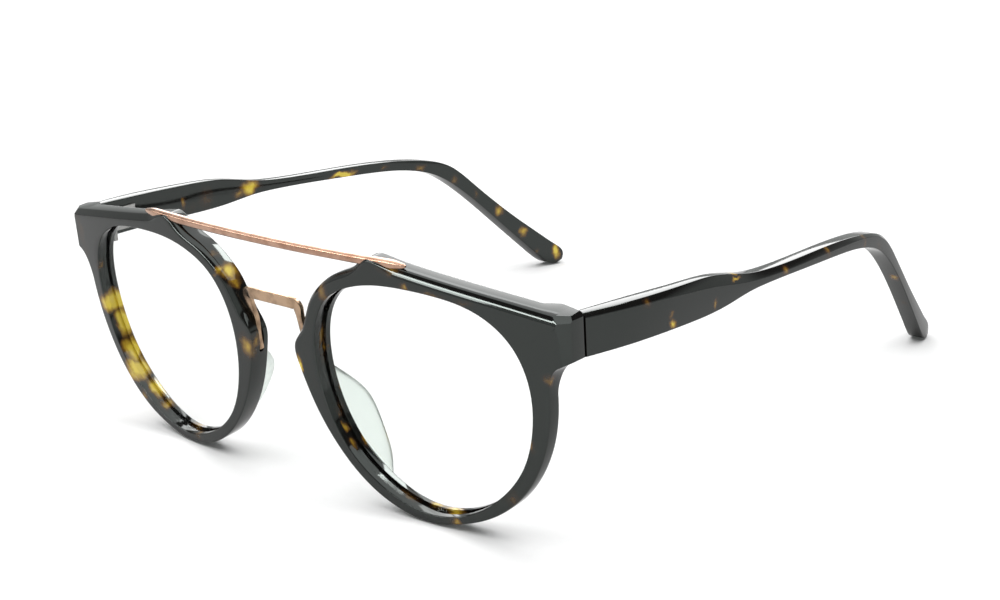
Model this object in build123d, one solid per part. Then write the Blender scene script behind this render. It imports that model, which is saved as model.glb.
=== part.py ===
from build123d import *
import math
import os

# Full-rim eyeglasses: two acetate rims joined by a metal brow bar and a metal
# bridge, with two temples that fold on five-knuckle hinges. Millimetres.
# +X is the wearer's left, -Y is the front, +Z is up. The glasses stand open on
# their rims and temple tips, and the origin ends up under the middle of their box.

# ---------------------------------------------------------------- front shape
FACE_RADIUS = 398.5          # the front's wrap around the face
FACE_TILT = 5.2              # degrees that the top leans forward of the bottom
RIM_DEPTH = 4.4              # acetate thickness, front to back
FRONT_SPAN = (-4.0, 18.0)    # from ahead of the front to behind it
MID_HEIGHT = 25.0
REACH = 60.0                 # half the size of a cutting block

# Lens opening, as distance from the nose line and height above the rim's bottom:
# up the temple side from the lowest point, then down the nose side from the highest.
OPENING_OUT = [(35.8, 1.8), (45.0, 3.7), (52.6, 8.6), (58.4, 15.6), (61.3, 24.0),
               (61.6, 32.0), (58.7, 39.5), (52.3, 44.4), (43.4, 46.4), (36.5, 46.8)]
OPENING_IN = [(36.5, 46.8), (28.5, 46.4), (22.5, 44.9), (17.2, 42.0), (13.2, 36.2), (11.8, 28.5),
              (13.3, 19.0), (17.8, 10.7), (25.5, 4.7), (35.8, 1.8)]
# Rim outline: from the nasal wall round the bottom to the endpiece's underside.
NASAL_WALL_FOOT = (8.4, 34.4)
NASAL_WALL_TOP = (11.1, 39.8)
LOWER_RIM = [
    NASAL_WALL_FOOT, (6.4, 30.4), (7.0, 26.5), (9.8, 18.8), (15.0, 10.5), (22.5, 3.8),
    (29.0, 0.95), (36.0, 0.05), (43.5, 1.4), (50.1, 4.0), (56.8, 9.0), (61.6, 15.8),
    (64.3, 23.0), (65.3, 30.0),
]
ENDPIECE_FOOT = (68.2, 36.5)
ENDPIECE_LOW = 37.45         # underside of the endpiece at its outer face
ENDPIECE_HIGH = 45.3         # top of the endpiece at its outer face
ENDPIECE_SIDE = 70.2         # outer face of the endpiece
SHOULDER = (29.2, 51.4)      # the step that the brow bar rests on
TOP_LINE = [(57.9, 47.25), (43.5, 49.3), SHOULDER]
NASAL_SHOULDER = [(27.3, 50.95), (24.6, 49.2), (19.5, 47.0), (15.0, 44.1), NASAL_WALL_TOP]

ENDPIECE_START = 65.7        # the front is thick enough for a hinge outside this
ENDPIECE_BACK = 7.3          # the flat that the temple closes against
ENDPIECE_CHAMFER = (1.7, 1.6)

# --------------------------------------------------------------------- lenses
LENS_DEPTH = 1.3             # front of the lens behind the front of the rim
LENS_THICKNESS = 1.8
GROOVE = 0.6                 # how far the lens edge is let into the rim
GROWN_POINTS = 16

# --------------------------------------------------------------- metal bridges
BAR_RADIUS = 0.95
BAR_HALF = 37.2              # half the brow bar's length
BAR_TIP = 4.0                # length of each pointed end
BAR_TIP_RADIUS = 0.35
BAR_HEIGHT = 50.85           # centre line above the rim's bottom
BAR_DEPTH = 1.25             # centre line behind the front of the rim
BAR_PIN_SPAN = (30.2, 32.8)  # pins that hold the bar to each rim
BAR_PIN_RADIUS = 0.45
BAR_PIN_LENGTH = 2.0

RIBBON = (0.95, 2.1)         # bridge ribbon, thickness and height
BRIDGE_PATH = [(0, 1.35, 39.05), (5.5, 1.2, 39.15), (7.3, 1.75, 38.7), (7.1, 2.5, 33.0), (7.6, 2.7, 26.4)]
BRIDGE_BENDS = (1.0, 1.5, 3.0)
BRIDGE_PIN_HEIGHTS = (28.2, 31.4)
BRIDGE_PIN_RADIUS = 0.35
BRIDGE_PIN_LENGTH = 2.4

# ------------------------------------------------------------------- nose pads
PAD_PROFILE = [(0, 26.4), (2.7, 23.2), (5.2, 18.8), (5.3, 14.6), (3.3, 8.8), (0, 4.6)]
PAD_SPLAY = 24.0             # degrees that a pad leans out towards its rim
PAD_REACH = 16.0             # longer than a pad is deep
PAD_OUT = [(10.2, 26.2), (9.1, 22.4), (11.4, 17.0), (15.6, 11.0), (19.8, 7.1), (23.3, 5.0)]
PAD_IN = [(23.3, 5.0), (21.0, 7.7), (17.2, 11.4), (13.5, 17.2), (11.8, 22.4), (10.2, 26.2)]

# --------------------------------------------------------------------- temples
BUTT = 7.5                   # the temple's front end, 0.2 behind the endpiece
TEMPLE_END = 146.4
TEMPLE_SPAN = (40.0, 90.0)   # from inside the curved tip to outside the temple
# Outer and inner faces seen from above, as distance back and distance from the nose line.
TEMPLE_OUTER = [(BUTT, 70.8), (16.0, 72.0), (38.0, 72.7), (62.0, 71.7), (78.0, 70.4),
                (92.0, 68.9), (112.0, 65.9), (130.0, 61.6), (TEMPLE_END, 57.0)]
TEMPLE_INNER = [(BUTT, 67.75), (18.0, 68.4), (38.0, 69.3), (55.0, 68.5), (70.0, 67.3),
                (92.0, 65.0), (112.0, 61.7), (130.0, 57.5), (TEMPLE_END, 52.9)]
# The side view, as distance back and height: over the top, round the tip, back underneath.
TEMPLE_TOP = [(BUTT, 45.7), (24.0, 44.85), (38.0, 43.95), (46.0, 42.7), (54.0, 40.75), (60.0, 39.95),
              (78.0, 38.6), (92.0, 37.5), (104.0, 35.5), (111.3, 32.9), (118.0, 27.3), (131.0, 14.9)]
TEMPLE_BACK = [(142.1, 5.9), (144.8, 3.5), (144.8, 1.3)]
TEMPLE_FOOT = (142.5, 0.0)
TEMPLE_FRONT = [(139.8, 1.8), (134.1, 7.8), (122.3, 19.2), (113.2, 27.8), (106.2, 32.0), (98.0, 34.3),
                (86.0, 35.9), (70.0, 37.05), (58.0, 37.7), (51.0, 37.7), (44.0, 36.9), (36.0, 36.95),
                (BUTT, 37.85)]
CORE_RADIUS = 0.5
CORE_PATH = [(70.7, 19.0, 41.4), (70.2, 57.0, 39.0), (68.0, 83.0, 37.15), (64.9, 107.3, 35.3),
             (58.3, 135.0, 8.9)]
CORE_BENDS = (60.0, 90.0, 40.0)

# ---------------------------------------------------------------------- hinges
PIVOT = (65.7, 9.0)          # where the hinge axis stands, behind the endpiece
BARREL_RADIUS = 1.3
BARREL_HOLE = 0.75
SCREW_RADIUS = 0.70          # running fit, 0.05 clear of the holes
HINGE_LOW = 38.7
KNUCKLE = 1.0
KNUCKLE_GAP = 0.06
KNUCKLES = 5
LEAF = 0.9                   # leaf thickness
FRONT_LEAF_INNER = 60.9
TEMPLE_LEAF_INNER = 67.65    # the temple's leaf stands a little proud of its inner face
TEMPLE_LEAF_SPAN = (8.7, 17.5)
WEB_HALF = 0.9               # half the width of what joins a barrel to its leaf
WEB_BITE = 0.1               # how far a web runs into its barrel and its leaf
SCREW_HEAD_RADIUS = 1.15
SCREW_HEAD = 0.7
DRIVER_SLOT = (0.3, 0.3)     # width and depth of the screw's slot
HINGE_HIGH = HINGE_LOW + KNUCKLES * KNUCKLE


def in_front(shape):
    """Turns a shape from the upright front's frame to the tilted one."""
    return Rot(X=FACE_TILT) * shape


def on_side(side, shape):
    """A shape drawn on the wearer's left, or its mirror image where side is -1."""
    return shape if side > 0 else mirror(shape, about=Plane.YZ)


def wrap(x):
    """How far the front has curved back at a distance from the nose line."""
    return FACE_RADIUS - math.sqrt(FACE_RADIUS ** 2 - x ** 2)


def behind(depth):
    """Everything behind the curved surface at a depth behind the rim's front."""
    return Pos(0, FACE_RADIUS, MID_HEIGHT) * Cylinder(FACE_RADIUS - depth, REACH * 2)


def prism(face):
    """Extrudes an outline drawn in X and Z right through the front."""
    low, high = FRONT_SPAN
    return Pos(0, low, 0) * extrude(face, high - low, dir=(0, 1, 0))


def curve(points, start, end):
    """A smooth line through (x, z) points with its headings at both ends."""
    headings = [(start[0], 0, start[1]), (end[0], 0, end[1])]
    return Spline([(x, 0, z) for x, z in points], tangents=headings)


def grown(line, distance):
    """Points beside a line, an even distance to its right."""
    points = []
    for step in range(GROWN_POINTS + 1):
        at = step / GROWN_POINTS
        point = line @ at + Vector(0, 1, 0).cross(line % at).normalized() * distance
        points.append((point.X, point.Z))
    return points


def opening_face(grow=0.0):
    """The lens opening, or the same shape grown evenly all round."""
    outer = curve(OPENING_OUT, (1, 0), (-1, 0))
    inner = curve(OPENING_IN, (-1, 0), (1, 0))
    if grow:
        outer = curve(grown(outer, grow), (1, 0), (-1, 0))
        inner = curve(grown(inner, grow), (-1, 0), (1, 0))
    return make_face([outer, inner])


def rim_face():
    low_corner = (ENDPIECE_SIDE, 0, ENDPIECE_LOW)
    high_corner = (ENDPIECE_SIDE, 0, ENDPIECE_HIGH)
    foot = (ENDPIECE_FOOT[0], 0, ENDPIECE_FOOT[1])
    shoulder = (SHOULDER[0], 0, SHOULDER[1])
    side = LOWER_RIM[-1]
    edges = [
        Spline([(x, 0, z) for x, z in LOWER_RIM], tangents=[(-0.6, 0, -1), (0.05, 0, 1)]),
        Spline([(side[0], 0, side[1]), foot], tangents=[(0.05, 0, 1), (1, 0, 0.45)]),
        Line(foot, low_corner),
        Line(low_corner, high_corner),
        Spline([high_corner] + [(x, 0, z) for x, z in TOP_LINE]),
        Spline([shoulder] + [(x, 0, z) for x, z in NASAL_SHOULDER],
               tangents=[(-1, 0, 0.05), (-0.55, 0, -1)]),
        Line((NASAL_WALL_TOP[0], 0, NASAL_WALL_TOP[1]), (NASAL_WALL_FOOT[0], 0, NASAL_WALL_FOOT[1])),
    ]
    return make_face(edges)


def lens(side):
    disc = on_side(side, prism(opening_face(GROOVE))) & behind(LENS_DEPTH)
    return in_front(disc - behind(LENS_DEPTH + LENS_THICKNESS))


def endpiece_wedge():
    """What is cut away between the front face and the endpiece's side."""
    run, fall = ENDPIECE_CHAMFER
    near = wrap(ENDPIECE_SIDE) - math.sin(math.radians(FACE_TILT)) * ENDPIECE_HIGH
    slope = fall / run
    inner, out = ENDPIECE_SIDE - 2 * run, ENDPIECE_SIDE + run
    corners = [(inner, near - fall), (out, near - fall), (out, near + fall + slope * run)]
    face = make_face(Polyline([(x, y, 0) for x, y in corners], close=True))
    return extrude(face, REACH, dir=(0, 0, 1))


def rim(side):
    """One acetate rim with its endpiece, before slots and pockets are cut."""
    solid = on_side(side, prism(rim_face())) & behind(0)
    block = Box(2 * REACH, REACH, 2 * REACH)
    inside = Pos(side * (ENDPIECE_START - REACH), 0, MID_HEIGHT) * block
    below = Pos(side * REACH, 0, ENDPIECE_FOOT[1] - REACH) * block
    solid -= behind(RIM_DEPTH) & (inside + below)
    solid -= on_side(side, prism(opening_face()))
    solid = in_front(solid)
    solid -= Pos(side * REACH, ENDPIECE_BACK + REACH / 2, MID_HEIGHT) * block
    return solid - on_side(side, endpiece_wedge())


def brow_bar():
    """A round bar that follows the front's wrap, pointed at both ends."""
    turn = FACE_RADIUS - BAR_DEPTH
    half = math.asin((BAR_HALF - BAR_TIP) / turn)

    def place(angle):
        return (turn * math.sin(angle), FACE_RADIUS - turn * math.cos(angle), BAR_HEIGHT)

    path = ThreePointArc(place(-half), place(0), place(half))
    bar = sweep(Plane(path @ 0, z_dir=path % 0) * Circle(BAR_RADIUS), path=path)
    for end, way in ((0, -1), (1, 1)):
        plane = Plane(path @ end, z_dir=(path % end) * way)
        tip = plane.offset(BAR_TIP)
        bar += loft([plane * Circle(BAR_RADIUS), tip * Circle(BAR_TIP_RADIUS)])
    return in_front(bar)


def brow_pins():
    """Two pins that stand in a rim and hold one end of the brow bar."""
    pins = []
    for x in BAR_PIN_SPAN:
        low = BAR_HEIGHT - BAR_RADIUS - BAR_PIN_LENGTH
        pin = Cylinder(BAR_PIN_RADIUS, BAR_PIN_LENGTH, align=(Align.CENTER, Align.CENTER, Align.MIN))
        pins.append(in_front(Pos(x, wrap(x) + BAR_DEPTH, low) * pin))
    return pins


def bridge():
    """A flat ribbon that bends down into a slot in each rim's nasal wall."""
    thickness, height = RIBBON
    path = FilletPolyline(BRIDGE_PATH, radius=list(BRIDGE_BENDS))
    section = Plane(origin=BRIDGE_PATH[0], x_dir=(0, 1, 0), z_dir=(1, 0, 0)) * Rectangle(thickness, height)
    half = sweep(section, path=path, transition=Transition.RIGHT)
    return in_front(half + mirror(half, about=Plane.YZ))


def bridge_pins():
    """Two pins that hold each leg of the bridge in its slot."""
    pins = []
    x, y, _ = BRIDGE_PATH[-1]
    for height in BRIDGE_PIN_HEIGHTS:
        pin = Rot(Y=90) * Cylinder(BRIDGE_PIN_RADIUS, BRIDGE_PIN_LENGTH)
        pins.append(in_front(Pos(x + BRIDGE_PIN_LENGTH / 2, y, height) * pin))
    return pins


def nose_pad(side):
    """A clear pad glued to the back of the rim beside the nose."""
    splay = math.tan(math.radians(PAD_SPLAY))
    edges = [Spline([(x, 0, z) for x, z in line]) for line in (PAD_OUT, PAD_IN)]
    rear = wrap(PAD_OUT[0][0]) + RIM_DEPTH
    block = Pos(-splay * rear, 0, 0) * extrude(make_face(edges), PAD_REACH, dir=(splay, 1, 0))
    block = on_side(side, block) & behind(RIM_DEPTH)
    low, high = PAD_PROFILE[-1][1], PAD_PROFILE[0][1]
    edges = [
        Spline([(0, rear + depth, height) for depth, height in PAD_PROFILE]),
        Polyline((0, rear, low), (0, 0, low), (0, 0, high), (0, rear, high)),
    ]
    return in_front(block & (Pos(-REACH, 0, 0) * extrude(make_face(edges), 2 * REACH, dir=(1, 0, 0))))


def temple_profile():
    """The temple seen from the side, in Y and Z."""
    top = TEMPLE_TOP + TEMPLE_BACK + [TEMPLE_FOOT]
    front = [TEMPLE_FOOT] + TEMPLE_FRONT
    edges = [
        Spline([(0, y, z) for y, z in top], tangents=[(0, 1, -0.03), (0, -1, 0)]),
        Spline([(0, y, z) for y, z in front], tangents=[(0, -1, 0), (0, -1, 0.06)]),
        Line((0, BUTT, TEMPLE_FRONT[-1][1]), (0, BUTT, TEMPLE_TOP[0][1])),
    ]
    low, high = TEMPLE_SPAN
    return Pos(low, 0, 0) * extrude(make_face(edges), high - low, dir=(1, 0, 0))


def temple_plan():
    """The temple seen from above: a band that curves in to its tip."""
    outer = [(x, y, 0) for y, x in TEMPLE_OUTER]
    inner = [(x, y, 0) for y, x in TEMPLE_INNER]
    edges = [Spline(outer), Line(outer[-1], inner[-1]), Spline(inner), Line(inner[0], outer[0])]
    return Pos(0, 0, -MID_HEIGHT) * extrude(make_face(edges), 2 * REACH, dir=(0, 0, 1))


def temple():
    """One temple, before its core channel and hinge pocket are cut."""
    return temple_profile() & temple_plan()


def core_wire():
    path = FilletPolyline(CORE_PATH, radius=list(CORE_BENDS))
    return sweep(Plane(path @ 0, z_dir=path % 0) * Circle(CORE_RADIUS), path=path)


def knuckle(index):
    """One hinge barrel, counted up from the lowest."""
    height = KNUCKLE - KNUCKLE_GAP
    low = HINGE_LOW + index * KNUCKLE + KNUCKLE_GAP / 2
    barrel = Cylinder(BARREL_RADIUS, height) - Cylinder(BARREL_HOLE, height)
    return Pos(PIVOT[0], PIVOT[1], low + height / 2) * barrel


def web(index, corner, opposite):
    """Joins a barrel to its leaf, without filling the barrel's hole."""
    height = KNUCKLE - KNUCKLE_GAP
    low = HINGE_LOW + index * KNUCKLE + KNUCKLE_GAP / 2
    size = (abs(opposite[0] - corner[0]), abs(opposite[1] - corner[1]), height)
    centre = ((corner[0] + opposite[0]) / 2, (corner[1] + opposite[1]) / 2, low + height / 2)
    hole = Pos(PIVOT[0], PIVOT[1], centre[2]) * Cylinder(BARREL_RADIUS - WEB_BITE, height * 2)
    return Pos(*centre) * Box(*size) - hole


def hinge_leaf(low_corner, high_corner):
    size = [b - a for a, b in zip(low_corner, high_corner)]
    centre = [(a + b) / 2 for a, b in zip(low_corner, high_corner)]
    return Pos(*centre) * Box(*size)


def front_hinge():
    """The leaf let into the front, with three of the five barrels."""
    x, y = PIVOT
    leaf = hinge_leaf((FRONT_LEAF_INNER, ENDPIECE_BACK - LEAF, HINGE_LOW),
                      (x + BARREL_RADIUS, ENDPIECE_BACK, HINGE_HIGH))
    for index in range(0, KNUCKLES, 2):
        leaf += knuckle(index)
        leaf += web(index, (x - WEB_HALF, ENDPIECE_BACK - WEB_BITE), (x + WEB_HALF, y))
    return leaf


def temple_hinge():
    """The leaf let into the temple, with the other two barrels."""
    x, y = PIVOT
    inner = TEMPLE_LEAF_INNER
    low, high = TEMPLE_LEAF_SPAN
    leaf = hinge_leaf((inner, low, HINGE_LOW), (inner + LEAF, high, HINGE_HIGH))
    for index in range(1, KNUCKLES, 2):
        leaf += knuckle(index)
        leaf += web(index, (x, y - WEB_BITE), (inner + WEB_BITE, y + WEB_HALF))
    return leaf


def hinge_screw():
    """A slotted screw down through the five barrels."""
    x, y = PIVOT
    low = HINGE_LOW + KNUCKLE_GAP
    length = HINGE_HIGH - low
    base = (Align.CENTER, Align.CENTER, Align.MIN)
    screw = Cylinder(SCREW_RADIUS, length, align=base)
    head = Pos(0, 0, length) * Cylinder(SCREW_HEAD_RADIUS, SCREW_HEAD, align=base)
    width, depth = DRIVER_SLOT
    slot = Pos(0, 0, length + SCREW_HEAD - depth / 2) * Box(SCREW_HEAD_RADIUS * 3, width, depth)
    return Pos(x, y, low) * (screw + head - slot)


def build_side(side, bar, ribbon, ribbon_pins):
    """Every piece of one half, by its name without the side."""
    bar_pins = [on_side(side, pin) for pin in brow_pins()]
    half = {
        "lens": lens(side),
        "nose_pad": nose_pad(side),
        "temple_core": on_side(side, core_wire()),
        "front_hinge": on_side(side, front_hinge()),
        "temple_hinge": on_side(side, temple_hinge()),
        "hinge_screw": on_side(side, hinge_screw()),
    }
    body = rim(side) - bar - ribbon - half["lens"] - half["front_hinge"]
    for pin in bar_pins + ribbon_pins:
        body -= pin
    half["rim"] = body
    half["temple"] = on_side(side, temple()) - half["temple_core"] - half["temple_hinge"]
    half["brow_pins"] = Compound(bar_pins)
    half["bridge_pins"] = Compound(ribbon_pins)
    return half


def build():
    """Every piece by name, in the standing frame."""
    bar = brow_bar()
    ribbon = bridge()
    pieces = {"brow_bar": bar}
    pins = {side: [on_side(side, pin) for pin in bridge_pins()] for side in (1, -1)}
    for side, name in ((1, "left"), (-1, "right")):
        for kind, shape in build_side(side, bar, ribbon, pins[side]).items():
            pieces[kind + "_" + name] = shape
    for pin in pins[1] + pins[-1]:
        ribbon -= pin
    pieces["bridge"] = ribbon
    return pieces


os.makedirs("parts", exist_ok=True)
PIECES = build()
BOXES = [shape.bounding_box() for shape in PIECES.values()]
FRONT = min(box.min.Y for box in BOXES)
BACK = max(box.max.Y for box in BOXES)
FLOOR = min(box.min.Z for box in BOXES)
SHIFT = -(FRONT + BACK) / 2
for node, shape in PIECES.items():
    print(node, type(shape).__name__, round(shape.volume, 2))
    export_step(Pos(0, SHIFT, -FLOOR) * shape, "parts/" + node + ".step")
print("moved along Y by", round(SHIFT, 4), "and along Z by", round(-FLOOR, 4))
print("hinge axes at X", PIVOT[0], "and Y", round(PIVOT[1] + SHIFT, 4))
print("depth", round(BACK - FRONT, 3))
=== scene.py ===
import math

import bmesh
import bpy
import numpy as np
from mathutils import Matrix, Vector


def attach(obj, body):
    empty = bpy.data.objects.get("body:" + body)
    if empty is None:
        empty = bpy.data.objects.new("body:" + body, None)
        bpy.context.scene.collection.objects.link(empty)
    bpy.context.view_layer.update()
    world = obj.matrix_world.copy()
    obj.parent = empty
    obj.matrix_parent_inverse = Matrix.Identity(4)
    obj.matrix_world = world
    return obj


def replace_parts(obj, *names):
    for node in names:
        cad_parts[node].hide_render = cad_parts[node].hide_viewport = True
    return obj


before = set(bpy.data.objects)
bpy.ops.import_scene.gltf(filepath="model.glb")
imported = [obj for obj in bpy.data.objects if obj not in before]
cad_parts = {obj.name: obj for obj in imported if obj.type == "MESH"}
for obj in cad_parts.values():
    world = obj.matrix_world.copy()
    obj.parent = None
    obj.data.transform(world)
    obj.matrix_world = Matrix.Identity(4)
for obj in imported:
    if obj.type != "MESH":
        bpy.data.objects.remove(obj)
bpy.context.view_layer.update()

MM = 0.001
SHIFT = -70.3564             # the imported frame's Y of the front's own zero, in mm
TILT = math.radians(5.2)     # the front leans back
FACE_RADIUS = 398.5          # of the front's curve, seen from above, in mm
DEPTH = 4.4                  # of the rims, front to back
REAR_FLAT = 7.3              # the back of the endpieces, behind the front's own zero
BUTT = 7.5                   # the front ends of the temples, from the same zero
SIDES = (("left", 1), ("right", -1))


# ------------------------------------------------------------------ curves and meshes
def spline(points, count, closed=False, start=None, end=None):
    """A cubic through the points, sampled evenly. start and end are headings, or None for a free end."""
    p = np.array(points, float)
    if closed:
        p = np.vstack([p, p[:1]])
    t = np.r_[0, np.cumsum(np.linalg.norm(np.diff(p, axis=0), axis=1))]
    h = np.diff(t)
    slope = np.diff(p, axis=0) / h[:, None]
    n = len(p)
    a, b = np.zeros((n, n)), np.zeros(p.shape)
    for i in range(1, n - 1):
        a[i, i - 1:i + 2] = h[i - 1], 2 * (h[i - 1] + h[i]), h[i]
        b[i] = 6 * (slope[i] - slope[i - 1])
    a[0, 0] = a[-1, -1] = 1
    if closed:
        a[0, -1] = -1
        a[-1, -1], a[-1, -2], a[-1, 1] = 2 * (h[-1] + h[0]), h[-1], h[0]
        b[-1] = 6 * (slope[0] - slope[-1])
    if start is not None:
        heading = np.array(start, float)
        a[0, :2] = 2 * h[0], h[0]
        b[0] = 6 * (slope[0] - heading / np.linalg.norm(heading))
    if end is not None:
        heading = np.array(end, float)
        a[-1, -2:] = h[-1], 2 * h[-1]
        b[-1] = 6 * (heading / np.linalg.norm(heading) - slope[-1])
    m = np.linalg.solve(a, b)
    s = np.linspace(0, t[-1], count, endpoint=not closed)
    k = np.clip(np.searchsorted(t, s, "right") - 1, 0, n - 2)
    u = ((t[k + 1] - s) / h[k])[:, None]
    v = 1 - u
    bend = ((u ** 3 - u) * m[k] + (v ** 3 - v) * m[k + 1]) * (h[k] ** 2)[:, None] / 6
    return u * p[k] + v * p[k + 1] + bend


def ease(x, low, high):
    """0 below low, 1 above high, smooth between them."""
    t = np.clip((np.asarray(x, float) - low) / (high - low), 0, 1)
    return t * t * (3 - 2 * t)


def to_row(x, w, h):
    """Points of the tilted front (mm: across, behind its apex plane, up it) in the row frame, in metres."""
    x, w, h = np.broadcast_arrays(x, w, h)
    y = w * math.cos(TILT) - h * math.sin(TILT) + SHIFT
    return np.stack([x, y, h * math.cos(TILT) + w * math.sin(TILT)], -1) * MM


def wrap(x):
    """How far the curve of the front has gone back at x."""
    return FACE_RADIUS - np.sqrt(FACE_RADIUS ** 2 - np.asarray(x, float) ** 2)


def mesh_object(name, verts, faces, sharp=35):
    """An object in the scene from vertices in metres, with edges over `sharp` degrees kept sharp."""
    mesh = bpy.data.meshes.new(name)
    mesh.from_pydata([tuple(v) for v in verts], [], faces)
    mesh.validate()
    bm = bmesh.new()
    bm.from_mesh(mesh)
    bmesh.ops.remove_doubles(bm, verts=bm.verts, dist=2e-6)
    bmesh.ops.recalc_face_normals(bm, faces=bm.faces)
    bm.to_mesh(mesh)
    bm.free()
    obj = bpy.data.objects.new(name, mesh)
    bpy.context.scene.collection.objects.link(obj)
    smooth(obj, sharp)
    return obj


def smooth(obj, sharp):
    obj.data.shade_smooth()
    obj.data.set_sharp_from_angle(angle=math.radians(sharp))


def loft(rings, closed_path=False, caps=True):
    """Vertices and faces of a skin through rings of equally many points."""
    rings = np.array(rings, float)
    count, size = rings.shape[:2]
    faces = []
    for i in range(count if closed_path else count - 1):
        j = (i + 1) % count
        for k in range(size):
            m = (k + 1) % size
            faces.append((i * size + k, i * size + m, j * size + m, j * size + k))
    if caps and not closed_path:
        faces.append(tuple(range(size))[::-1])
        faces.append(tuple(range((count - 1) * size, count * size)))
    return rings.reshape(-1, 3), faces


def rounded(corners, radius, steps=3):
    """A closed 2-D polygon with each corner rounded, as count * (steps + 1) points."""
    out = []
    n = len(corners)
    c = np.array(corners, float)
    for i in range(n):
        a, b, d = c[i - 1], c[i], c[(i + 1) % n]
        r = radius[i] if hasattr(radius, "__len__") else radius
        p = b + (a - b) / max(np.linalg.norm(a - b), 1e-9) * min(r, np.linalg.norm(a - b) * 0.45)
        q = b + (d - b) / max(np.linalg.norm(d - b), 1e-9) * min(r, np.linalg.norm(d - b) * 0.45)
        for s in range(steps + 1):
            t = s / steps
            out.append((1 - t) ** 2 * p + 2 * t * (1 - t) * b + t * t * q)
    return np.array(out)


def fillet_path(points, radii, step=0.25):
    """A polyline in 3-D with its inner corners rounded, sampled closely."""
    p = [np.array(q, float) for q in points]
    out = [p[0]]
    for i in range(1, len(p) - 1):
        a, b, d = p[i - 1], p[i], p[i + 1]
        u, v = (a - b) / np.linalg.norm(a - b), (d - b) / np.linalg.norm(d - b)
        half = math.acos(np.clip(u @ v, -1, 1)) / 2
        room = 0.48 * min(np.linalg.norm(a - b), np.linalg.norm(d - b))
        cut = min(radii[i - 1] / math.tan(half), room)
        for s in range(9):
            t = s / 8
            out.append((1 - t) ** 2 * (b + u * cut) + 2 * t * (1 - t) * b + t * t * (b + v * cut))
    out.append(p[-1])
    dense = [out[0]]
    for a, b in zip(out, out[1:]):
        pieces = max(1, int(np.linalg.norm(b - a) / step))
        dense += [a + (b - a) * (k + 1) / pieces for k in range(pieces)]
    return np.array(dense)


# ------------------------------------------------------------------ the rims
# Outlines of the left rim in the front's own plane: across, up, in mm
CENTRE = np.array((36.7, 24.5))
OPENING = [(35.8, 1.8), (45.0, 3.7), (52.6, 8.6), (58.4, 15.6), (61.3, 24.0), (61.6, 32.0), (58.7, 39.5),
           (52.3, 44.4), (43.4, 46.4), (36.5, 46.8), (28.5, 46.4), (22.5, 44.9), (17.2, 42.0),
           (13.2, 36.2), (11.8, 28.5), (13.3, 19.0), (17.8, 10.7), (25.5, 4.7)]
LOWER = [(8.4, 34.4), (6.4, 30.4), (7.0, 26.5), (9.8, 18.8), (15.0, 10.5), (22.5, 3.8), (29.0, 0.95),
         (36.0, 0.05), (43.5, 1.4), (50.1, 4.0), (56.8, 9.0), (61.6, 15.8), (64.3, 23.0), (65.3, 30.0)]
FOOT, LOW, HIGH, SHOULDER = (68.2, 36.5), (70.2, 37.45), (70.2, 45.3), (29.2, 51.4)
CHAMFER = (1.7, 1.6)         # between the endpiece's front and side: width, depth
TOP_BEVEL = 0.85             # height of the endpiece's top bevels
FRONT_EDGE, BACK_EDGE, WALL_EDGE = 0.12, 0.25, 0.15
BEVEL_SOFT = 0.34
RIM_SHARP = 28               # degrees
REAR_EDGE, REAR_EDGE_AT_PAD = 0.36, 0.10
GROOVE = ((0, 3.16), (0.05, 3.11), (0.64, 3.11), (0.64, 1.29), (0.05, 1.29), (0, 1.24))   # offset, depth
TOP = [HIGH, (57.9, 47.25), (43.5, 49.3), SHOULDER]
NASAL = [SHOULDER, (27.3, 50.95), (24.6, 49.2), (19.5, 47.0), (15.0, 44.1), (11.1, 39.8)]


def outline():
    """The rim's outer edge, anticlockwise from the nasal wall, with a mitred inward normal at each point."""
    parts = [
        spline(LOWER, 190, start=(-0.6, -1), end=(0.05, 1)),
        spline([LOWER[-1], FOOT], 20, start=(0.05, 1), end=(1, 0.45)),
        np.linspace(FOOT, LOW, 7), np.linspace(LOW, HIGH, 19),
        spline(TOP, 120), spline(NASAL, 90, start=(-1, 0.05), end=(-0.55, -1)),
        np.linspace(NASAL[-1], LOWER[0], 20),
    ]
    p = np.vstack([part[:-1] for part in parts])
    edge = np.roll(p, -1, 0) - p
    edge /= np.linalg.norm(edge, axis=1)[:, None]
    normal = np.stack([-edge[:, 1], edge[:, 0]], 1)
    before = np.roll(normal, 1, 0)
    mitre = (normal + before) / (1 + (normal * before).sum(1))[:, None]
    return p, mitre


def inner_edge(outer):
    """For each outer point the opening's point in the same direction, with the normal into the material."""
    p = spline(OPENING, 1440, closed=True)
    edge = np.roll(p, -1, 0) - np.roll(p, 1, 0)
    edge /= np.linalg.norm(edge, axis=1)[:, None]
    normal = np.stack([edge[:, 1], -edge[:, 0]], 1)

    def angle(q):
        return np.arctan2(q[:, 1] - CENTRE[1], q[:, 0] - CENTRE[0])

    order = np.argsort(angle(p))
    a = angle(p)[order]
    want = angle(outer)
    columns = (p[:, 0], p[:, 1], normal[:, 0], normal[:, 1])
    at = [np.interp(want, a, c[order], period=2 * math.pi) for c in columns]
    return np.stack(at[:2], 1), np.stack(at[2:], 1)


def rear_depth(x, h):
    """Thickness at a place on the rim: its own depth, or more at the endpiece's flat back."""
    flat = (REAR_FLAT + h * math.sin(TILT)) / math.cos(TILT) - wrap(x)
    end = ease(x, 62.8, 66.3) * ease(h, 35.9, 36.8)
    return DEPTH + (flat - DEPTH) * end


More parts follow.
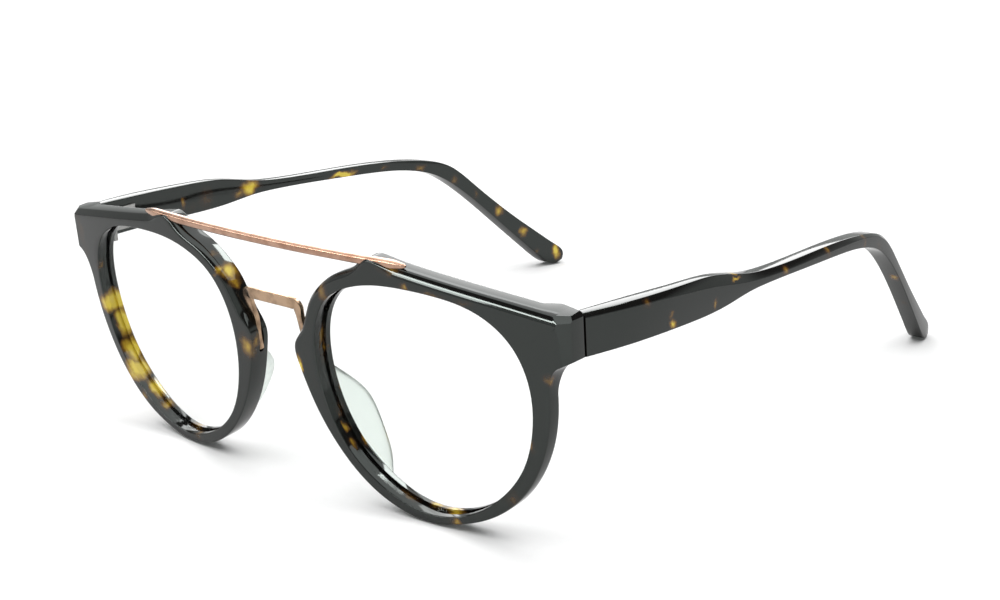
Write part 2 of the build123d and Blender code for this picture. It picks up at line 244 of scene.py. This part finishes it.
def chamfer(a, b, e=0.1):
    """Offset and depth of the points of a bevel a wide and b deep with softened edges, from face to wall."""
    length = np.hypot(a, b)
    e = np.minimum(e, length * 0.3)
    ax, ay = a - e * a / length, e * b / length
    bx, by = e * a / length, b - e * b / length
    zero = np.zeros_like(a)
    return [(a + e, zero), ((a + e + 2 * a + ax) / 4, ay / 4), (ax, ay),
            (bx, by), (bx / 4, (by + 3 * b + e) / 4), (zero, b + e)]


def rim_object(name, side):
    """A rim with its endpiece: one section, swept round the outline, from the lens wall over the front."""
    outer, normal = outline()
    inner, inward = inner_edge(outer)
    x, h = outer.T
    # Masks from 0 to 1: nasal wall, top of the brow, outer side under the endpiece, and the side of the pad
    nasal = ease(30.5 - x, 0, 5) * ease(h, 31.0, 35.0)
    brow = ease(x, 29.5, 36.0) * ease(h, 45.2, 45.3)
    flank = ease(x, 45.0, 60.0) * (1 - ease(h, 30.0, 36.5))
    pad_side = 1 - ease(x, 18.0, 30.0)
    front = chamfer(FRONT_EDGE + 0.85 * nasal + 1.35 * brow + 0.2 * flank,
                    FRONT_EDGE + 1.0 * nasal + 0.75 * brow + 0.3 * flank, BEVEL_SOFT)
    back_size = BACK_EDGE + 1.45 * flank + 0.4 * brow * (1 - 0.7 * ease(x, 46.0, 69.0))
    back = chamfer(back_size, back_size * 0.9, 0.3)
    lip = chamfer(np.full_like(x, WALL_EDGE), np.full_like(x, WALL_EDGE), 0.05)
    rear_size = REAR_EDGE - (REAR_EDGE - REAR_EDGE_AT_PAD) * pad_side
    rear_lip = chamfer(rear_size, rear_size, 0.08)
    rings = []

    def put(point, depth):
        """Adds a line round the rim; under the endpiece it drops with depth, which levels the underside."""
        under = ease(point[:, 0], 65.5, 68.0) * (1 - ease(point[:, 1], 37.6, 40.0))
        height = point[:, 1] - 0.06 * depth * under
        rings.append(to_row(point[:, 0] * side, wrap(point[:, 0]) + depth, height))

    def at_outer(offset):
        return outer + normal * np.asarray(offset)[:, None]

    def at_inner(offset):
        return inner + inward * np.asarray(offset)[:, None]

    face_out, face_in = at_outer(front[0][0]), at_inner(lip[0][0])
    for offset, depth in lip[::-1]:
        put(at_inner(offset), depth)
    for t in np.linspace(0, 1, 7)[1:-1]:
        put(face_in + (face_out - face_in) * t, np.zeros_like(x))
    for offset, depth in front:
        put(at_outer(offset), depth)
    for offset, depth in back[::-1]:
        point = at_outer(offset)
        put(point, rear_depth(point[:, 0], point[:, 1]) - depth)
    face_out, face_in = at_outer(back[0][0]), at_inner(rear_lip[0][0])
    for t in np.linspace(1, 0, 16)[1:-1]:
        point = face_in + (face_out - face_in) * t
        put(point, rear_depth(point[:, 0], point[:, 1]))
    for offset, depth in rear_lip:
        put(at_inner(offset), DEPTH - depth)
    for offset, depth in GROOVE:
        put(at_inner(np.full_like(x, offset)), np.full_like(x, depth))
    verts, faces = loft(np.array(rings).transpose(1, 0, 2), closed_path=True)
    obj = mesh_object(name, verts, faces, RIM_SHARP)
    cut_endpiece(obj, side)
    return obj


def slice_off(bm, point, normal, soft):
    """Cuts away what lies beyond a plane, closes the cut and softens its edges."""
    cut = bmesh.ops.bisect_plane(bm, geom=bm.verts[:] + bm.edges[:] + bm.faces[:], dist=1e-7,
                                 plane_co=point, plane_no=normal, clear_outer=True)
    edges = [e for e in cut["geom_cut"] if isinstance(e, bmesh.types.BMEdge)]
    lid = bmesh.ops.contextual_create(bm, geom=edges)["faces"]
    bmesh.ops.recalc_face_normals(bm, faces=bm.faces)
    around = dict.fromkeys(e for f in lid for e in f.edges)      # each edge once, in a fixed order
    bmesh.ops.bevel(bm, geom=list(around), offset=soft * MM, segments=2, profile=0.6,
                    affect="EDGES", clamp_overlap=True)


def cut_endpiece(obj, side):
    """Takes the flat bevels off the endpiece: between its front and side, and along its top."""
    run, fall = CHAMFER
    edge, height = HIGH
    face = float(wrap(edge))
    lower = Vector((0, 0, -TOP_BEVEL * MM))
    bm = bmesh.new()
    bm.from_mesh(obj.data)
    corner = Vector((side * (edge - run), face - math.sin(TILT) * height + SHIFT, 0)) * MM
    slice_off(bm, corner, Vector((fall * side, -run, 0)).normalized(), 0.1)
    top = Vector(to_row(side * edge, face + 5.0, height))
    slice_off(bm, top + lower, Vector((0.85 * side, 0, 0.6)).normalized(), 0.08)
    front = Vector(to_row(side * (edge - run / 2), face + fall / 2, height))
    slice_off(bm, front + lower, Vector((0.5 * side, -0.55, 0.62)).normalized(), 0.08)
    bm.to_mesh(obj.data)
    bm.free()
    smooth(obj, RIM_SHARP)


def cut_with(obj, cutter):
    """Cuts one mesh out of another for good."""
    modifier = obj.modifiers.new("cut", "BOOLEAN")
    modifier.operation, modifier.solver, modifier.object = "DIFFERENCE", "EXACT", cutter
    graph = bpy.context.evaluated_depsgraph_get()
    mesh = bpy.data.meshes.new_from_object(obj.evaluated_get(graph))
    obj.modifiers.clear()
    obj.data = mesh
    bpy.data.objects.remove(cutter)


# ------------------------------------------------------------------ the metal between the rims
BAR_HALF, BAR_TIP, BAR_HEIGHT, BAR_DEPTH = 37.2, 4.0, 50.85, 1.25
BAR_RADIUS, BAR_POWER = 0.88, 0.78   # a power below 1 squares the section slightly
# Half the bridge's path: across, behind the front's curve, up
BRIDGE = [(0, 1.35, 39.05), (5.5, 1.2, 39.15), (7.3, 1.75, 38.7), (7.1, 2.5, 33.0), (7.6, 2.7, 26.4)]
BRIDGE_BENDS = (1.0, 1.5, 3.0)
RIBBON_TALL, LEG_TALL, RIBBON_THICK, LEG_THICK = 2.3, 1.5, 0.95, 1.05
SLOT_FOOT, SLOT_TOP, SLOT_WIDTH, SLOT_DEPTH = 25.6, 42, 1.15, 2.65
SLOT_START, SLOT_LENGTH = 2.0, 6.5


def brow_bar_object():
    """A round bar along the top of the front, thinner at its two tips."""
    straight = BAR_HALF - BAR_TIP
    tip = np.linspace(straight, BAR_HALF, 12)[1:]
    x = np.r_[-tip[::-1], np.linspace(-straight, straight, 150), tip]
    angle = np.linspace(0, 2 * math.pi, 28, endpoint=False)
    circle = np.stack([np.cos(angle), np.sin(angle)], 1)
    shape = np.sign(circle) * np.abs(circle) ** BAR_POWER * BAR_RADIUS
    rings = []
    for at in x:
        left = (BAR_HALF - abs(at)) / BAR_TIP
        size = 0.37 + 0.62 * math.sin(min(left, 1) * math.pi / 2) if left > 0.02 else 0.2
        lean = at / FACE_RADIUS
        w = wrap(at) + BAR_DEPTH + shape[:, 0] * size * math.cos(lean)
        rings.append(to_row(at - shape[:, 0] * size * math.sin(lean), w, BAR_HEIGHT + shape[:, 1] * size))
    verts, faces = loft(rings)
    return mesh_object("brow_bar_metal", verts, faces, 50)


def bridge_object():
    """A flat ribbon across the nose, bent down into a leg at each end."""
    half = fillet_path(BRIDGE, BRIDGE_BENDS, 0.3)
    path = np.vstack([half[:0:-1] * (-1, 1, 1), half])
    tangent = np.gradient(path, axis=0)
    tangent /= np.linalg.norm(tangent, axis=1)[:, None]
    rings = []
    for p, t in zip(path, tangent):
        back = np.array((0, 1, 0)) - t * t[1]
        back /= np.linalg.norm(back)
        up = np.cross(t, back)
        up /= np.linalg.norm(up)
        leg = float(ease(39.2 - p[2], 0.6, 3.2))
        tall = (RIBBON_TALL + (LEG_TALL - RIBBON_TALL) * leg) / 2
        thick = (RIBBON_THICK + (LEG_THICK - RIBBON_THICK) * leg) / 2
        section = rounded([(-thick, -tall), (thick, -tall), (thick, tall), (-thick, tall)], 0.2)
        ring = p + section[:, :1] * back + section[:, 1:] * up
        rings.append(to_row(ring[:, 0], ring[:, 1], ring[:, 2]))
    verts, faces = loft(rings)
    return mesh_object("bridge_metal", verts, faces, 40)


def slot_cutter(side):
    """The rounded slot in the nasal wall that a leg of the bridge drops into."""
    half = SLOT_WIDTH / 2
    round_end, foot = SLOT_FOOT + half, SLOT_FOOT + 0.08
    section = rounded([(-half, round_end), (-half / 2, foot), (half / 2, foot), (half, round_end),
                       (half, SLOT_TOP), (-half, SLOT_TOP)], 0.2)
    across = SLOT_START + SLOT_LENGTH * np.linspace(0, 1, 5)
    rings = [to_row(side * x, SLOT_DEPTH + section[:, 0], section[:, 1]) for x in across]
    verts, faces = loft(rings)
    return mesh_object("cutter", verts, faces)


# ------------------------------------------------------------------ nose pads
# How far a pad stands off the rim, and its two edges on the rim: (mm, height)
PAD_PROFILE = [(0, 26.4), (2.7, 23.2), (5.2, 18.8), (5.3, 14.6), (3.3, 8.8), (0, 4.6)]
PAD_NOSE = [(10.2, 26.2), (9.1, 22.4), (11.4, 17.0), (15.6, 11.0), (19.8, 7.1), (23.3, 5.0)]
PAD_LENS = [(10.2, 26.2), (11.8, 22.4), (13.5, 17.2), (17.2, 11.4), (21.0, 7.7), (23.3, 5.0)]
PAD_LOW, PAD_TALL, PAD_SINK, PAD_SPLAY = 5.0, 21.2, 0.02, math.tan(math.radians(24))


def pad_object(name, side):
    """A nose pad, skinned over sections that lie closer together towards its ends."""
    profile, nose, lens = (spline(points, 400) for points in (PAD_PROFILE, PAD_NOSE, PAD_LENS))
    heights = PAD_LOW + PAD_TALL * (1 - np.cos(np.linspace(0.06, math.pi - 0.06, 70))) / 2

    def at(curve, column):
        return np.interp(heights, curve[::-1, 1], curve[::-1, column])

    rings = []
    for h, depth, near, far in zip(heights, at(profile, 0), at(nose, 0), at(lens, 0)):
        depth, width = max(depth, 0.05), max(far - near, 0.08)
        crest = min(width * 0.45, depth * 0.6)
        section = rounded([(0, -PAD_SINK), (width, -PAD_SINK), (width, depth), (0, depth)],
                          [PAD_SINK, PAD_SINK, crest, crest], 6)
        x = near + section[:, 0] + section[:, 1] * PAD_SPLAY
        rings.append(to_row(side * x, wrap(10.2) + DEPTH + section[:, 1], h))
    verts, faces = loft(rings)
    return mesh_object(name, verts, faces, 60)


# ------------------------------------------------------------------ temples
# Both sides of the left temple seen from above: (Y, X)
TEMPLE_OUTER = [(BUTT, 70.28), (16.0, 71.9), (38.0, 72.6), (62.0, 71.7), (78.0, 70.4), (92.0, 68.9),
                (112.0, 65.9), (130.0, 61.6), (146.4, 57.0)]
TEMPLE_INNER = [(BUTT, 67.8), (18.0, 68.45), (38.0, 69.35), (55.0, 68.55), (70.0, 67.35), (92.0, 65.05),
                (112.0, 61.75), (130.0, 57.55), (146.4, 52.95)]
# Stations along the temple: top (Y, Z), bottom (Y, Z), bevel width and height
TEMPLE = [
    (BUTT, 45.7, BUTT, 37.85, 0.6, 0.85), (24, 44.85, 24, 37.45, 0.8, 1.05),
    (34, 44.2, 34, 37.05, 0.95, 1.5), (41, 43.6, 40, 36.9, 1.1, 1.8),
    (46, 42.7, 45, 37.05, 1.2, 1.8), (54, 40.8, 53, 37.65, 1.15, 1.3),
    (60, 39.95, 59, 37.6, 1.1, 1.15), (78, 38.65, 77, 36.4, 1.05, 1.05),
    (92, 37.5, 90, 35.3, 1.05, 1.0), (104, 35.6, 99.3, 33.85, 1.0, 1.0),
    (111.5, 32.9, 107.0, 31.3, 0.95, 1.05), (118.1, 27.3, 114.4, 26.2, 0.9, 1.1),
    (131.2, 15.0, 127.7, 13.2, 0.85, 1.1), (139.1, 8.3, 135.0, 5.7, 0.85, 1.1),
    (142.5, 5.5, 138.3, 2.4, 0.8, 1.0), (144.3, 3.9, 139.9, 1.05, 0.7, 0.8),
    (144.9, 2.6, 141.0, 0.4, 0.6, 0.6), (144.5, 1.0, 142.4, 0.06, 0.4, 0.4),
]
TEMPLE_EDGES = (0.35, 0.25, 0.16, 0.16, 0.3)


def temple_object(name, side):
    """A temple from hinge to tip: a five-sided section with a bevel along its outer top edge."""
    stations = np.array(TEMPLE, float)
    plan, inside = spline(TEMPLE_OUTER, 600), spline(TEMPLE_INNER, 600)
    mids = (stations[:, 0:2] + stations[:, 2:4]) / 2
    ring_data = spline(np.hstack([mids, stations]), 300)[:, 2:]

    def outer(y):
        return np.interp(y, plan[:, 0], plan[:, 1])

    rings = []
    for ty, tz, by, bz, bevel, drop in ring_data:
        top, low = np.array((ty, tz)), np.array((by, bz))
        tall = np.linalg.norm(top - low)
        drop = min(drop, tall * 0.55)
        thick = outer(by) - np.interp(by, inside[:, 0], inside[:, 1])
        corners = [(-thick, 0), (-thick, tall), (-bevel, tall), (0, tall - drop), (0, 0)]
        soft = [min(k, tall * 0.3) for k in TEMPLE_EDGES]
        ring = []
        for across, up in rounded(corners, soft):
            y, z = low + (top - low) * up / tall
            ring.append((side * (outer(y) + across), y + SHIFT, max(z, 0.0)))
        rings.append(np.array(ring) * MM)
    verts, faces = loft(rings)
    return mesh_object(name, verts, faces, 40)


# ------------------------------------------------------------------ materials
class Nodes:
    """A short way to write a material's node tree."""

    def __init__(self, name):
        self.material = bpy.data.materials.new(name)
        self.material.use_nodes = True
        self.tree = self.material.node_tree
        self.shader = self.tree.nodes["Principled BSDF"]

    def add(self, kind, **settings):
        node = self.tree.nodes.new("ShaderNode" + kind)
        for key, value in settings.items():
            setattr(node, key, value)
        return node

    def link(self, source, target):
        self.tree.links.new(source, target)

    def math(self, operation, a, b=None, c=None):
        node = self.add("Math", operation=operation)
        for socket, value in zip(node.inputs, (a, b, c)):
            if isinstance(value, (int, float)):
                socket.default_value = value
            elif value is not None:
                self.link(value, socket)
        return node.outputs[0]

    def vector(self, operation, a, b=None):
        node = self.add("VectorMath", operation=operation)
        self.link(a, node.inputs[0])
        if b is not None:
            node.inputs[1].default_value = b
        return node.outputs[0]

    def noise(self, vector, scale, detail=3.0, rough=0.5):
        node = self.add("TexNoise")
        node.inputs["Scale"].default_value = scale
        node.inputs["Detail"].default_value = detail
        node.inputs["Roughness"].default_value = rough
        self.link(vector, node.inputs["Vector"])
        return node

    def ramp(self, value, stops):
        node = self.add("ValToRGB")
        while len(node.color_ramp.elements) < len(stops):
            node.color_ramp.elements.new(0.5)
        for element, (at, colour) in zip(node.color_ramp.elements, stops):
            element.position = at
            element.color = (*colour, 1)
        self.link(value, node.inputs[0])
        return node.outputs[0]

    def bump(self, height, distance, strength=1.0):
        node = self.add("Bump")
        node.inputs["Strength"].default_value = strength
        node.inputs["Distance"].default_value = distance
        self.link(height, node.inputs["Height"])
        self.link(node.outputs[0], self.shader.inputs["Normal"])


WANDER = 0.0036              # how far the clouds' edges wander, in metres
ACETATE_TONES = [(0.0, (0.0040, 0.0036, 0.0032)), (0.22, (0.020, 0.009, 0.004)), (0.45, (0.12, 0.060, 0.010)),
                 (0.72, (0.36, 0.22, 0.018)), (1.0, (0.66, 0.50, 0.050))]


def tortoiseshell(name, patches, mottle):
    """Polished dark acetate with amber and yellow clouds; patches are (centre mm, size mm, strength)."""
    n = Nodes(name)
    place = n.add("TexCoord").outputs["Object"]
    wander = n.noise(place, 260, 4, 0.55).outputs["Color"]
    moved = n.vector("MULTIPLY_ADD", wander, (WANDER,) * 3)
    n.link(place, moved.node.inputs[2])
    warped = n.vector("SUBTRACT", moved, (WANDER / 2,) * 3)
    cloud = n.noise(warped, 62, 2, 0.5).outputs["Fac"]
    amount = n.math("MULTIPLY", n.math("SUBTRACT", cloud, 1 - mottle), 5.0)
    for centre, size, strength in patches:
        away = n.vector("SUBTRACT", warped, [c * MM for c in centre])
        away = n.vector("DIVIDE", away, [s * MM for s in size])
        length = n.vector("LENGTH", away).node.outputs["Value"]
        blob = n.math("MULTIPLY", n.math("SUBTRACT", 1.25, length), strength)
        amount = n.math("MAXIMUM", amount, blob)
    n.link(n.ramp(amount, ACETATE_TONES), n.shader.inputs["Base Color"])
    rough = n.ramp(n.noise(place, 900, 2).outputs["Fac"], [(0.3, (0.05,) * 3), (0.7, (0.09,) * 3)])
    n.link(rough, n.shader.inputs["Roughness"])
    n.shader.inputs["IOR"].default_value = 1.5
    facing = n.add("LayerWeight").outputs["Facing"]
    shine = n.math("MAXIMUM", n.math("MULTIPLY_ADD", facing, -0.72, 0.63), 0.1)
    n.link(shine, n.shader.inputs["Specular IOR Level"])
    n.shader.inputs["Specular Tint"].default_value = (0.90, 1.0, 0.955, 1)
    n.bump(n.noise(place, 140, 1).outputs["Fac"], 0.00002, 0.35)
    return n.material


def metal(name, colour, dark, roughness, along):
    """Plated wire or sheet: fine drawn lines, worn brighter in places."""
    n = Nodes(name)
    place = n.add("TexCoord").outputs["Object"]
    stretch = n.add("Mapping")
    stretch.inputs["Scale"].default_value = along
    n.link(place, stretch.inputs["Vector"])
    lines = n.noise(stretch.outputs[0], 1.0, 3).outputs["Fac"]
    tone = n.ramp(n.noise(place, 420, 3).outputs["Fac"], [(0.3, dark), (0.62, colour)])
    n.link(tone, n.shader.inputs["Base Color"])
    rough = n.math("MULTIPLY_ADD", lines, 0.14, roughness - 0.07)
    n.link(rough, n.shader.inputs["Roughness"])
    n.shader.inputs["Metallic"].default_value = 1.0
    n.bump(lines, 0.00001, 0.3)
    return n.material


def clear_plastic(name, colour, roughness, ior):
    """Frosted clear plastic, a little rougher and paler in places."""
    n = Nodes(name)
    place = n.add("TexCoord").outputs["Object"]
    paler = tuple(min(1, c * 1.02) for c in colour)
    tint = n.ramp(n.noise(place, 180, 2).outputs["Fac"], [(0.3, colour), (0.7, paler)])
    n.link(tint, n.shader.inputs["Base Color"])
    worn = n.noise(place, 700, 2).outputs["Fac"]
    rough = n.ramp(worn, [(0.3, (roughness,) * 3), (0.7, (roughness * 1.6,) * 3)])
    n.link(rough, n.shader.inputs["Roughness"])
    n.shader.inputs["Transmission Weight"].default_value = 1.0
    n.shader.inputs["IOR"].default_value = ior
    return n.material


def lens_material():
    """Clear lens: almost only a faint reflection, so that it neither bends nor darkens what is behind it."""
    n = Nodes("lens_clear")
    clear = n.add("BsdfTransparent")
    place = n.add("TexCoord").outputs["Object"]
    tones = [(0.3, (0.994, 0.997, 0.995)), (0.7, (0.997, 0.999, 0.998))]
    n.link(n.ramp(n.noise(place, 60, 1).outputs["Fac"], tones), clear.inputs["Color"])
    n.shader.inputs["Base Color"].default_value = (0.02, 0.02, 0.02, 1)
    n.shader.inputs["Roughness"].default_value = 0.02
    facing = n.add("LayerWeight").outputs["Facing"]
    mix = n.add("MixShader")
    n.link(n.math("MULTIPLY_ADD", n.math("POWER", facing, 4.0), 0.2, 0.006), mix.inputs[0])
    n.link(clear.outputs[0], mix.inputs[1])
    n.link(n.shader.outputs[0], mix.inputs[2])
    n.link(mix.outputs[0], n.tree.nodes["Material Output"].inputs["Surface"])
    return n.material


def dress(obj, material):
    """Gives every face of an object the one material."""
    obj.data.materials.clear()
    obj.data.materials.append(material)
    for polygon in obj.data.polygons:
        polygon.material_index = 0


# Amber and yellow clouds in the acetate: centre, half size (mm, row frame) and strength
RIM_PATCHES = {
    "left": [
        ((16.8, -73.5, 43.4), (1.5, 3.0, 2.5), 0.55), ((34.2, -72.6, 49.8), (2.4, 1.6, 1.1), 0.50),
        ((37.0, -72.8, 47.2), (1.2, 1.0, 0.9), 0.55), ((43.5, -72.0, 46.6), (3.2, 1.0, 0.7), 0.36),
        ((7.1, -72.3, 27.3), (0.9, 2.0, 2.3), 1.00), ((65.6, -67.5, 34.2), (1.1, 1.2, 1.1), 0.48),
        ((60.6, -67.2, 20.8), (0.8, 1.0, 1.8), 0.50), ((55.6, -67.0, 9.6), (1.6, 1.6, 1.6), 0.30),
        ((41.7, -68.2, 1.5), (1.9, 1.2, 1.3), 0.60), ((39.0, -65.4, 2.3), (2.8, 1.6, 1.2), 0.95),
        ((34.8, -65.5, 2.3), (2.4, 1.1, 1.0), 0.85), ((28.3, -66.8, 2.9), (2.6, 1.1, 1.0), 0.45),
        ((16.6, -69.6, 12.0), (1.1, 1.2, 1.6), 0.70), ((14.5, -69.0, 14.6), (0.8, 0.8, 2.4), 0.66),
        ((13.0, -68.7, 17.5), (0.8, 0.9, 1.8), 0.36), ((11.4, -70.8, 33.2), (1.0, 0.9, 3.4), 0.52),
        ((11.2, -69.9, 30.4), (0.8, 0.7, 2.6), 0.62), ((12.2, -67.4, 24.5), (1.0, 1.1, 3.4), 0.80),
        ((16.6, -66.3, 12.0), (2.0, 1.1, 3.0), 0.75), ((50.0, -70.8, 45.9), (2.4, 1.0, 0.7), 0.30),
    ],
    "right": [
        ((-61.8, -65.2, 25.6), (2.4, 4.4, 2.8), 1.25), ((-60.8, -64.6, 20.6), (2.4, 2.2, 4.0), 1.20),
        ((-57.8, -64.4, 14.8), (2.4, 2.4, 4.4), 1.25), ((-55.0, -65.6, 11.2), (3.4, 3.6, 3.0), 1.30),
        ((-50.8, -64.6, 7.2), (3.6, 2.2, 2.4), 1.15), ((-46.5, -65.4, 4.8), (2.4, 2.2, 1.4), 0.70),
        ((-55.9, -67.2, 11.3), (1.2, 1.2, 1.6), 0.70), ((-51.6, -67.4, 6.5), (1.5, 1.1, 1.3), 0.52),
        ((-35.9, -65.4, 2.2), (2.6, 2.0, 1.2), 0.55), ((-31.5, -68.2, 2.2), (1.6, 1.4, 1.4), 0.46),
        ((-61.3, -67.8, 34.8), (1.0, 1.1, 1.2), 0.40), ((-8.2, -72.5, 27.6), (2.2, 1.8, 3.2), 0.70),
        ((-6.5, -71.6, 28.8), (0.9, 0.9, 2.0), 0.52), ((-14.0, -73.2, 42.0), (1.4, 1.2, 1.4), 1.20),
        ((-12.6, -71.6, 42.0), (2.4, 2.2, 2.2), 1.00), ((-11.3, -71.5, 40.2), (1.2, 1.6, 1.8), 0.72),
        ((-16.0, -72.4, 44.8), (1.3, 1.2, 0.8), 0.34), ((-6.5, -71.0, 23.0), (1.2, 2.0, 1.6), 0.27),
        ((-65.5, -68.5, 37.0), (1.2, 1.4, 1.6), 0.26),
    ],
}
TEMPLE_PATCHES = {
    "left": [
        ((72.9, -41.9, 38.2), (1.6, 1.0, 1.2), 0.85), ((72.9, -42.2, 39.8), (1.2, 0.8, 0.7), 0.40),
        ((72.5, -28.9, 38.3), (1.3, 0.9, 1.2), 0.50), ((71.6, -21.6, 41.0), (1.5, 1.9, 0.45), 1.00),
        ((70.6, -21.0, 41.9), (1.5, 1.5, 0.45), 0.90), ((72.6, -48.7, 44.0), (1.3, 1.3, 0.8), 0.38),
        ((71.4, -5.2, 38.2), (1.6, 1.5, 1.4), 0.55), ((69.4, 12.1, 37.6), (1.5, 1.2, 1.3), 0.50),
        ((67.2, 28.8, 35.4), (1.4, 1.0, 1.4), 0.60), ((62.9, 49.1, 21.3), (1.6, 1.3, 1.4), 0.60),
        ((60.8, 58.2, 13.5), (1.4, 1.0, 1.0), 0.36), ((66.0, 36.5, 32.5), (1.5, 1.2, 1.2), 0.30),
    ],
    "right": [
        ((-69.8, -38.7, 40.3), (1.6, 0.8, 1.8), 0.55), ((-69.2, -18.9, 39.6), (2.4, 3.4, 1.8), 1.15),
        ((-69.2, -22.4, 38.8), (2.0, 2.0, 1.3), 0.55), ((-66.6, 8.6, 37.0), (2.2, 4.6, 0.9), 1.25),
        ((-64.8, 21.2, 36.2), (2.0, 1.3, 1.0), 0.34), ((-63.0, 32.3, 33.9), (2.0, 1.8, 1.0), 0.52),
        ((-61.2, 42.7, 28.9), (2.0, 1.5, 1.5), 0.48), ((-59.8, 48.8, 23.7), (2.0, 1.2, 1.2), 0.40),
        ((-58.2, 55.2, 17.8), (2.0, 1.6, 1.6), 0.80), ((-56.3, 62.8, 10.8), (2.0, 1.7, 1.7), 0.90),
        ((-55.3, 66.2, 4.6), (2.0, 1.2, 1.2), 0.40), ((-53.8, 72.2, 3.4), (2.0, 1.6, 2.6), 1.20),
    ],
}

COPPER = metal("brow_bar_copper", (0.40, 0.25, 0.18), (0.27, 0.15, 0.10), 0.26, (40, 2500, 2500))
BRONZE = metal("bridge_bronze", (0.38, 0.26, 0.17), (0.13, 0.085, 0.055), 0.22, (300, 2500, 900))
STEEL = metal("hinge_steel", (0.34, 0.34, 0.33), (0.20, 0.20, 0.195), 0.34, (900, 900, 200))
CORE = metal("core_wire_steel", (0.66, 0.64, 0.60), (0.45, 0.44, 0.42), 0.25, (2000, 60, 2000))
PAD = clear_plastic("nose_pad_clear", (0.74, 0.80, 0.76), 0.34, 1.42)
LENS = lens_material()

# ------------------------------------------------------------------ pieces
for name, side in SIDES:
    shell = tortoiseshell("acetate_rim_" + name, RIM_PATCHES[name], 0.32)
    rim = rim_object("rim_acetate_" + name, side)
    cut_with(rim, slot_cutter(side))
    smooth(rim, RIM_SHARP)
    dress(rim, shell)
    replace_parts(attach(rim, "front"), "rim_" + name)

    pad = pad_object("nose_pad_clear_" + name, side)
    dress(pad, PAD)
    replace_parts(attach(pad, "front"), "nose_pad_" + name)

    arm = temple_object("temple_acetate_" + name, side)
    dress(arm, tortoiseshell("acetate_temple_" + name, TEMPLE_PATCHES[name], 0.30))
    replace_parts(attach(arm, name + "_temple"), "temple_" + name)

bar = brow_bar_object()
dress(bar, COPPER)
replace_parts(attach(bar, "front"), "brow_bar")
ribbon = bridge_object()
dress(ribbon, BRONZE)
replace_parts(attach(ribbon, "front"), "bridge")

# Pieces that keep their CAD shape
CARRIED = {"lens": LENS, "front_hinge": STEEL, "temple_hinge": STEEL, "hinge_screw": STEEL,
           "brow_pins": STEEL, "bridge_pins": STEEL, "temple_core": CORE}
for kind, material in CARRIED.items():
    for name, _ in SIDES:
        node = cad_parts[kind + "_" + name]
        dress(node, material)
        smooth(node, 30)

# ------------------------------------------------------------------ floor, light and camera
FLOOR_HALF, FLOOR_LEVEL = 6, -0.0002
floor_mesh = bpy.data.meshes.new("floor")
corners = [(x * FLOOR_HALF, y * FLOOR_HALF, FLOOR_LEVEL) for x, y in ((-1, -1), (1, -1), (1, 1), (-1, 1))]
floor_mesh.from_pydata(corners, [], [(0, 1, 2, 3)])
floor = bpy.data.objects.new("floor", floor_mesh)
bpy.context.scene.collection.objects.link(floor)
paper = Nodes("floor_paper")
grain = paper.noise(paper.add("TexCoord").outputs["Object"], 900, 2).outputs["Fac"]
white = paper.ramp(grain, [(0.2, (0.93,) * 3), (0.8, (0.95,) * 3)])
paper.link(white, paper.shader.inputs["Base Color"])
paper.shader.inputs["Roughness"].default_value = 0.9
paper.shader.inputs["Specular IOR Level"].default_value = 0.0
dress(floor, paper.material)

world = bpy.data.worlds.new("studio")
bpy.context.scene.world = world
world.use_nodes = True
tree = world.node_tree
direction = tree.nodes.new("ShaderNodeTexCoord")
split = tree.nodes.new("ShaderNodeSeparateXYZ")
sky = tree.nodes.new("ShaderNodeValToRGB")
tree.links.new(direction.outputs["Generated"], split.inputs[0])
tree.links.new(split.outputs["Z"], sky.inputs[0])
tree.links.new(sky.outputs[0], tree.nodes["Background"].inputs["Color"])
low, high = sky.color_ramp.elements
low.position, low.color = 0.30, (0.72, 0.75, 0.735, 1)
high.position, high.color = 0.42, (0.10, 0.10, 0.10, 1)


def lamp(name, place, target, size, power, lights_floor=True):
    """A soft box. With lights_floor off it only shows in glossy surfaces and casts no shadow."""
    light = bpy.data.lights.new(name, "AREA")
    light.shape = "RECTANGLE"
    light.size, light.size_y = size
    light.energy = power
    obj = bpy.data.objects.new(name, light)
    obj.location = place
    obj.visible_diffuse = lights_floor
    obj.rotation_euler = (Vector(target) - Vector(place)).to_track_quat("-Z", "Y").to_euler()
    bpy.context.scene.collection.objects.link(obj)


lamp("overhead", (-0.2, -0.2, 1.5), (-0.2, -0.2, 0), (3.6, 2.6), 62)
lamp("back_left", (-0.87, 1.03, 0.80), (0.0, 0.0, 0.04), (1.2, 1.15), 22, False)
lamp("window", (0.06, 0.93, 1.28), (0, -0.06, 0.04), (0.5, 0.4), 12, False)
lamp("low_strip", (-0.95, -1.12, 0.60), (0, 0, 0.04), (1.2, 0.15), 6, False)
lamp("brow_strip", (-0.55, -1.25, 0.66), (0.03, -0.06, 0.04), (1.0, 0.10), 6, False)

camera_data = bpy.data.cameras.new("camera")
camera = bpy.data.objects.new("camera", camera_data)
bpy.context.scene.collection.objects.link(camera)
# The camera's own axes and place, in the row frame
back = Vector((0.66018042, -0.68528979, 0.30747311))
right = Vector((0.73159981, 0.67937665, -0.05664881))
up = Vector((-0.1700692, 0.2623457, 0.94986904))
place = Vector((259.311, -214.9424 + SHIFT, 141.706)) * MM
camera.matrix_world = Matrix((
    (right.x, up.x, back.x, place.x),
    (right.y, up.y, back.y, place.y),
    (right.z, up.z, back.z, place.z),
    (0, 0, 0, 1)))
camera_data.sensor_width = 36
camera_data.lens = 65.81
camera_data.shift_x = 0.02352
camera_data.shift_y = 0.00927
camera_data.clip_start = 0.01
bpy.context.scene.camera = camera
bpy.context.scene.view_settings.view_transform = "Standard"
